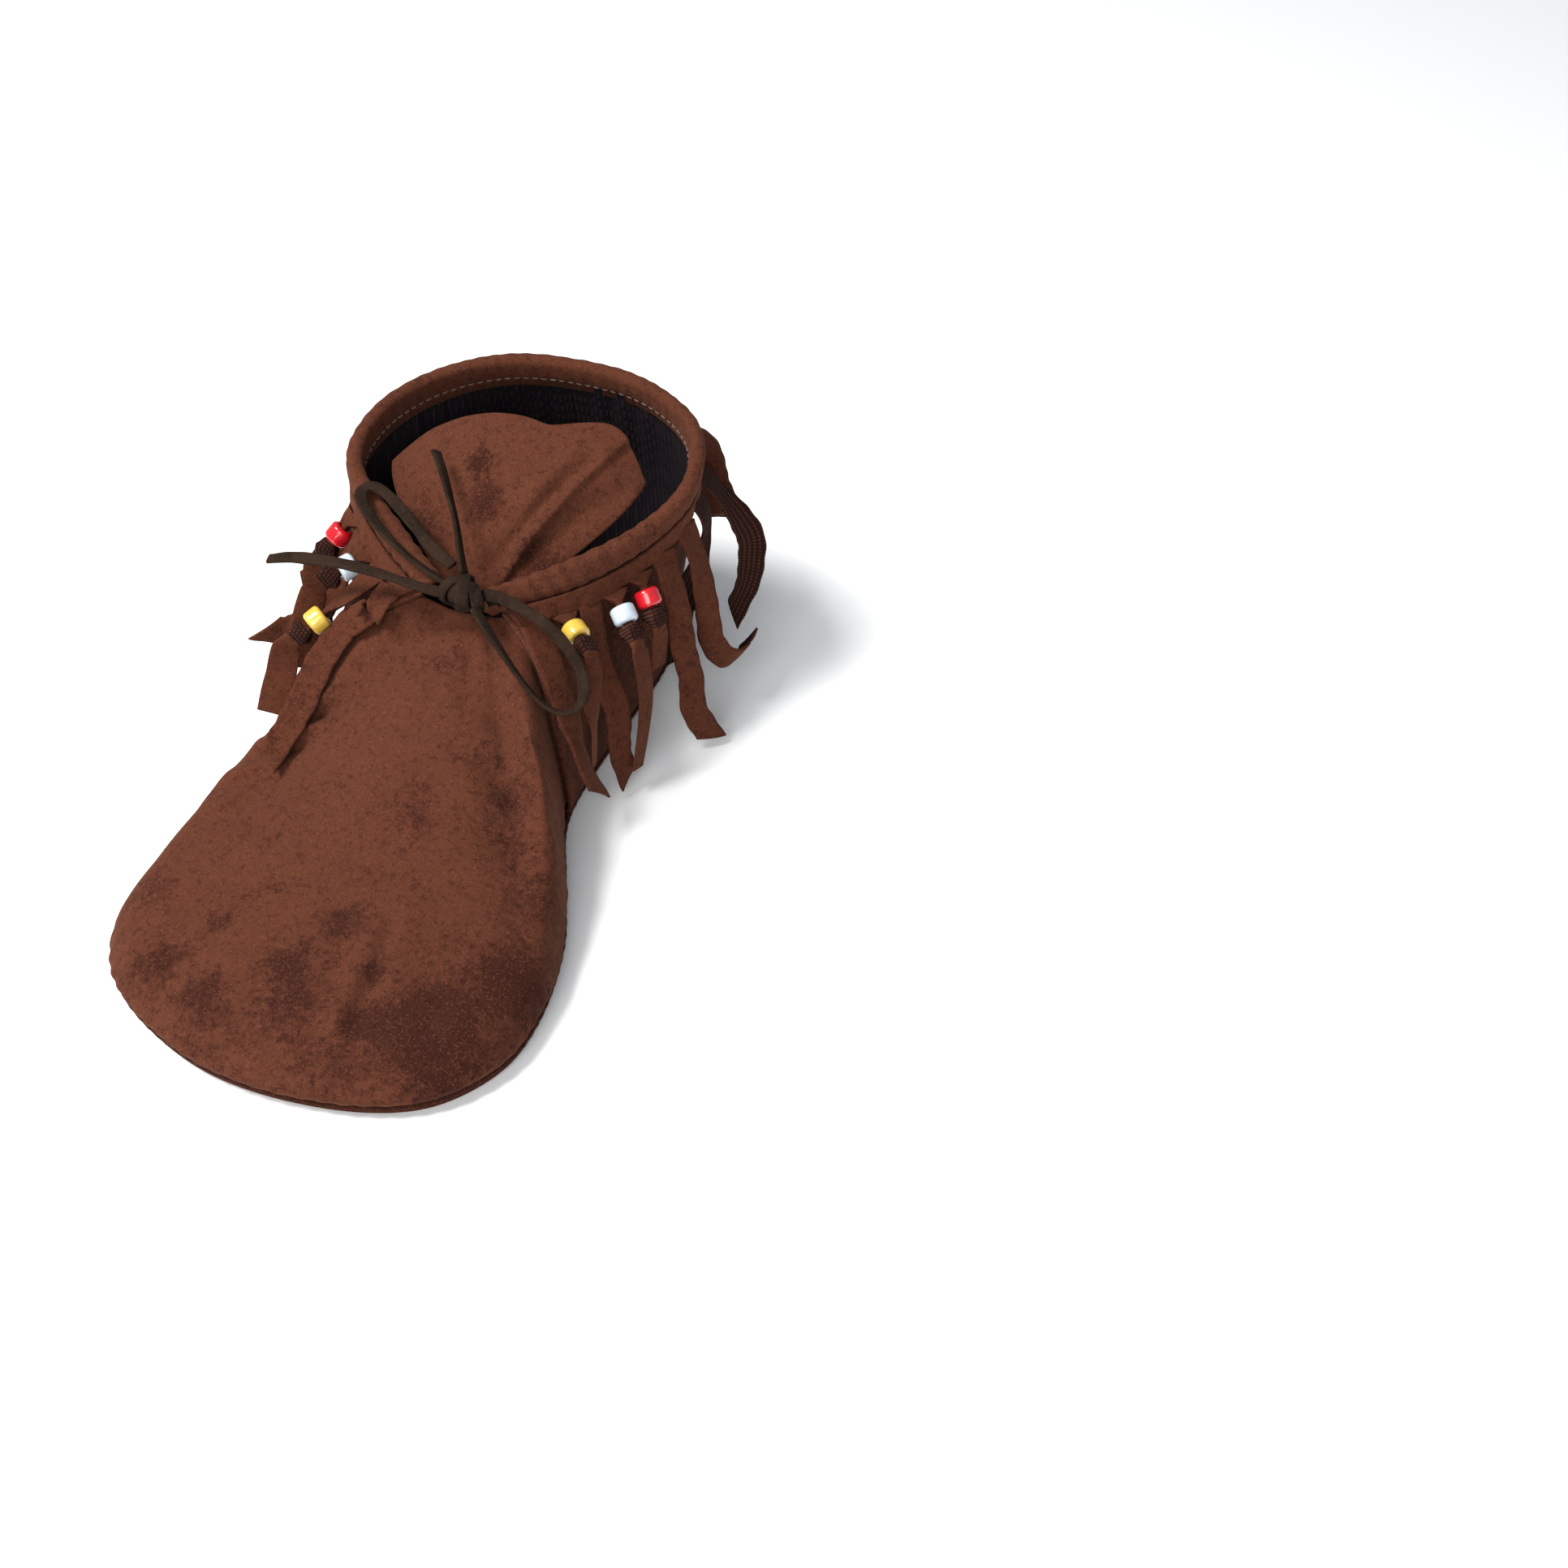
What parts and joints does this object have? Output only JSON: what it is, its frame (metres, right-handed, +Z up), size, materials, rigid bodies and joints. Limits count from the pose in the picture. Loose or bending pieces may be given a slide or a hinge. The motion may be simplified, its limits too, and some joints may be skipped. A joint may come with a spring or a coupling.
{
  "type": "moccasin",
  "caption": "Soft ankle-high costume moccasin with a broad puffy toe, a turned-over drawstring collar tied in a bow, a beaded fringe round the ankle and a loose tongue.",
  "frame": {"origin": "middle of the sole's length and width, on the underside of the sole, where it rests on the floor", "axes": "-Y is towards the toe, +Y towards the heel, +X towards the inner side of the foot, +Z up"},
  "size_m": [0.1574, 0.3045, 0.1095],
  "materials": {
    "suede": "brown faux suede with a short blotchy nap, ribbed knit on its reverse",
    "sole_cloth": "brown faux suede, a thicker panel",
    "lining": "dark knitted lining",
    "lace": "dark olive-brown suede lace",
    "red_bead": "glossy moulded plastic",
    "white_bead": "glossy moulded plastic",
    "yellow_bead": "glossy moulded plastic"
  },
  "bodies": {
    "upper": {"sole": "sole_cloth", "insole": "lining", "vamp": "suede", "quarter_inner": "suede", "quarter_outer": "suede", "collar_hem": "suede", "drawstring": "lace", "fringe_band": "suede", "lace_knot": "lace", "lace_loop_outer": "lace", "lace_loop_inner": "lace", "lace_tail_outer": "lace", "lace_tail_inner": "lace"},
    "tongue": {"tongue": "suede"},
    "bead_red_inner": {"bead_red_inner": "red_bead"},
    "bead_red_outer": {"bead_red_outer": "red_bead"},
    "bead_white_inner": {"bead_white_inner": "white_bead"},
    "bead_white_outer": {"bead_white_outer": "white_bead"},
    "bead_yellow_inner": {"bead_yellow_inner": "yellow_bead"},
    "bead_yellow_outer": {"bead_yellow_outer": "yellow_bead"},
    "fringe_strand_01": {"fringe_strand_01": "suede"},
    "fringe_strand_02": {"fringe_strand_02": "suede"},
    "fringe_strand_03": {"fringe_strand_03": "suede"},
    "fringe_strand_04": {"fringe_strand_04": "suede"},
    "fringe_strand_05": {"fringe_strand_05": "suede"},
    "fringe_strand_06": {"fringe_strand_06": "suede"},
    "fringe_strand_07": {"fringe_strand_07": "suede"},
    "fringe_strand_08": {"fringe_strand_08": "suede"},
    "fringe_strand_09": {"fringe_strand_09": "suede"},
    "fringe_strand_10": {"fringe_strand_10": "suede"},
    "fringe_strand_11": {"fringe_strand_11": "suede"},
    "fringe_strand_12": {"fringe_strand_12": "suede"},
    "fringe_strand_13": {"fringe_strand_13": "suede"},
    "fringe_strand_14": {"fringe_strand_14": "suede"},
    "fringe_strand_15": {"fringe_strand_15": "suede"},
    "fringe_strand_16": {"fringe_strand_16": "suede"},
    "fringe_strand_17": {"fringe_strand_17": "suede"},
    "fringe_strand_18": {"fringe_strand_18": "suede"},
    "fringe_strand_19": {"fringe_strand_19": "suede"},
    "fringe_strand_20": {"fringe_strand_20": "suede"},
    "fringe_strand_21": {"fringe_strand_21": "suede"},
    "fringe_strand_22": {"fringe_strand_22": "suede"},
    "fringe_strand_23": {"fringe_strand_23": "suede"},
    "fringe_strand_24": {"fringe_strand_24": "suede"},
    "fringe_strand_25": {"fringe_strand_25": "suede"},
    "fringe_strand_26": {"fringe_strand_26": "suede"},
    "fringe_strand_27": {"fringe_strand_27": "suede"},
    "fringe_strand_28": {"fringe_strand_28": "suede"}
  },
  "joints": [
    {"name": "tongue_fold", "type": "hinge", "parent": "upper", "child": "tongue", "pos_m": [0.004, 0.0282, 0.0672], "axis": [1, 0, 0], "range_deg": [-20, 3], "stiffness_Nm_per_rad": 0.03, "springref_deg": 2.58},
    {"name": "bead_red_inner_slide", "type": "slide", "parent": "fringe_strand_05", "child": "bead_red_inner", "axis": [-0.5208, 0.3974, 0.7556], "range_m": [0, 0.001]},
    {"name": "bead_red_outer_slide", "type": "slide", "parent": "fringe_strand_24", "child": "bead_red_outer", "axis": [0.5587, 0.4468, 0.6987], "range_m": [0, 0.001]},
    {"name": "bead_white_inner_slide", "type": "slide", "parent": "fringe_strand_04", "child": "bead_white_inner", "axis": [-0.5904, 0.5089, 0.6265], "range_m": [0, 0.001]},
    {"name": "bead_white_outer_slide", "type": "slide", "parent": "fringe_strand_26", "child": "bead_white_outer", "axis": [0.6387, 0.7322, 0.2363], "range_m": [0, 0.001]},
    {"name": "bead_yellow_inner_slide", "type": "slide", "parent": "fringe_strand_02", "child": "bead_yellow_inner", "axis": [-0.7331, 0.6476, 0.2078], "range_m": [0, 0.001]},
    {"name": "bead_yellow_outer_slide", "type": "slide", "parent": "fringe_strand_27", "child": "bead_yellow_outer", "axis": [0.5997, 0.6661, 0.4435], "range_m": [0, 0.001]},
    {"name": "fringe_strand_01_swing", "type": "hinge", "parent": "upper", "child": "fringe_strand_01", "pos_m": [0.02887, 0.02365, 0.06978], "axis": [-0.6158, -0.7797, 0.1137], "range_deg": [0, 12]},
    {"name": "fringe_strand_02_swing", "type": "hinge", "parent": "upper", "child": "fringe_strand_02", "pos_m": [0.03555, 0.03295, 0.068], "axis": [-0.5173, -0.845, 0.1355], "range_deg": [0, 45]},
    {"name": "fringe_strand_03_swing", "type": "hinge", "parent": "upper", "child": "fringe_strand_03", "pos_m": [0.04117, 0.0428, 0.06658], "axis": [-0.4562, -0.8887, 0.0449], "range_deg": [0, 45]},
    {"name": "fringe_strand_04_swing", "type": "hinge", "parent": "upper", "child": "fringe_strand_04", "pos_m": [0.04636, 0.05284, 0.06669], "axis": [-0.4645, -0.8784, -0.1128], "range_deg": [0, 45]},
    {"name": "fringe_strand_05_swing", "type": "hinge", "parent": "upper", "child": "fringe_strand_05", "pos_m": [0.05189, 0.06279, 0.06862], "axis": [-0.4672, -0.8474, -0.2522], "range_deg": [0, 45]},
    {"name": "fringe_strand_06_swing", "type": "hinge", "parent": "upper", "child": "fringe_strand_06", "pos_m": [0.05739, 0.07304, 0.07224], "axis": [-0.4359, -0.8187, -0.3738], "range_deg": [0, 45]},
    {"name": "fringe_strand_07_swing", "type": "hinge", "parent": "upper", "child": "fringe_strand_07", "pos_m": [0.06185, 0.08406, 0.07703], "axis": [-0.189, -0.914, -0.3589], "range_deg": [0, 35]},
    {"name": "fringe_strand_08_swing", "type": "hinge", "parent": "upper", "child": "fringe_strand_08", "pos_m": [0.06188, 0.09644, 0.08063], "axis": [0.1366, -0.9621, -0.236], "range_deg": [0, 45]},
    {"name": "fringe_strand_09_swing", "type": "hinge", "parent": "upper", "child": "fringe_strand_09", "pos_m": [0.05877, 0.10845, 0.08332], "axis": [0.361, -0.913, -0.1901], "range_deg": [0, 45]},
    {"name": "fringe_strand_10_swing", "type": "hinge", "parent": "upper", "child": "fringe_strand_10", "pos_m": [0.05227, 0.11913, 0.08546], "axis": [0.6467, -0.752, -0.1275], "range_deg": [0, 45]},
    {"name": "fringe_strand_11_swing", "type": "hinge", "parent": "upper", "child": "fringe_strand_11", "pos_m": [0.04285, 0.12752, 0.08696], "axis": [0.8197, -0.5642, -0.0988], "range_deg": [0, 45]},
    {"name": "fringe_strand_12_swing", "type": "hinge", "parent": "upper", "child": "fringe_strand_12", "pos_m": [0.03158, 0.13347, 0.08822], "axis": [0.9295, -0.3586, -0.0858], "range_deg": [0, 45]},
    {"name": "fringe_strand_13_swing", "type": "hinge", "parent": "upper", "child": "fringe_strand_13", "pos_m": [0.01929, 0.13669, 0.08911], "axis": [0.9862, -0.1596, -0.0443], "range_deg": [0, 45]},
    {"name": "fringe_strand_14_swing", "type": "hinge", "parent": "upper", "child": "fringe_strand_14", "pos_m": [0.00671, 0.1379, 0.08944], "axis": [0.999, -0.0431, -0.007], "range_deg": [0, 45]},
    {"name": "fringe_strand_15_swing", "type": "hinge", "parent": "upper", "child": "fringe_strand_15", "pos_m": [-0.00595, 0.13773, 0.08935], "axis": [0.9971, 0.0728, 0.0201], "range_deg": [0, 45]},
    {"name": "fringe_strand_16_swing", "type": "hinge", "parent": "upper", "child": "fringe_strand_16", "pos_m": [-0.01851, 0.13584, 0.08891], "axis": [0.9682, 0.2451, 0.0503], "range_deg": [0, 45]},
    {"name": "fringe_strand_17_swing", "type": "hinge", "parent": "upper", "child": "fringe_strand_17", "pos_m": [-0.03045, 0.13129, 0.08797], "axis": [0.8849, 0.4559, 0.0954], "range_deg": [0, 45]},
    {"name": "fringe_strand_18_swing", "type": "hinge", "parent": "upper", "child": "fringe_strand_18", "pos_m": [-0.04102, 0.12412, 0.0865], "axis": [0.7437, 0.6574, 0.1211], "range_deg": [0, 45]},
    {"name": "fringe_strand_19_swing", "type": "hinge", "parent": "upper", "child": "fringe_strand_19", "pos_m": [-0.04933, 0.11459, 0.08495], "axis": [0.5464, 0.8312, 0.1024], "range_deg": [0, 45]},
    {"name": "fringe_strand_20_swing", "type": "hinge", "parent": "upper", "child": "fringe_strand_20", "pos_m": [-0.05501, 0.10336, 0.0837], "axis": [0.3604, 0.928, 0.0947], "range_deg": [0, 45]},
    {"name": "fringe_strand_21_swing", "type": "hinge", "parent": "upper", "child": "fringe_strand_21", "pos_m": [-0.05849, 0.0913, 0.08225], "axis": [0.1823, 0.9733, 0.1395], "range_deg": [0, 45]},
    {"name": "fringe_strand_22_swing", "type": "hinge", "parent": "upper", "child": "fringe_strand_22", "pos_m": [-0.05961, 0.07881, 0.08038], "axis": [-0.0164, 0.9865, 0.1632], "range_deg": [0, 45]},
    {"name": "fringe_strand_23_swing", "type": "hinge", "parent": "upper", "child": "fringe_strand_23", "pos_m": [-0.0577, 0.06656, 0.07801], "axis": [-0.3006, 0.923, 0.2402], "range_deg": [0, 45]},
    {"name": "fringe_strand_24_swing", "type": "hinge", "parent": "upper", "child": "fringe_strand_24", "pos_m": [-0.05242, 0.05638, 0.07495], "axis": [-0.542, 0.7889, 0.2897], "range_deg": [0, 45]},
    {"name": "fringe_strand_25_swing", "type": "hinge", "parent": "upper", "child": "fringe_strand_25", "pos_m": [-0.04624, 0.04815, 0.07266], "axis": [-0.5975, 0.782, 0.1773], "range_deg": [0, 45]},
    {"name": "fringe_strand_26_swing", "type": "hinge", "parent": "upper", "child": "fringe_strand_26", "pos_m": [-0.03972, 0.0401, 0.072], "axis": [-0.6234, 0.7816, 0.0207], "range_deg": [0, 25]},
    {"name": "fringe_strand_27_swing", "type": "hinge", "parent": "upper", "child": "fringe_strand_27", "pos_m": [-0.03226, 0.03178, 0.07259], "axis": [-0.693, 0.719, -0.0535], "range_deg": [0, 25]},
    {"name": "fringe_strand_28_swing", "type": "hinge", "parent": "upper", "child": "fringe_strand_28", "pos_m": [-0.02354, 0.02379, 0.07318], "axis": [-0.7551, 0.6555, -0.0114], "range_deg": [0, 45]}
  ]
}
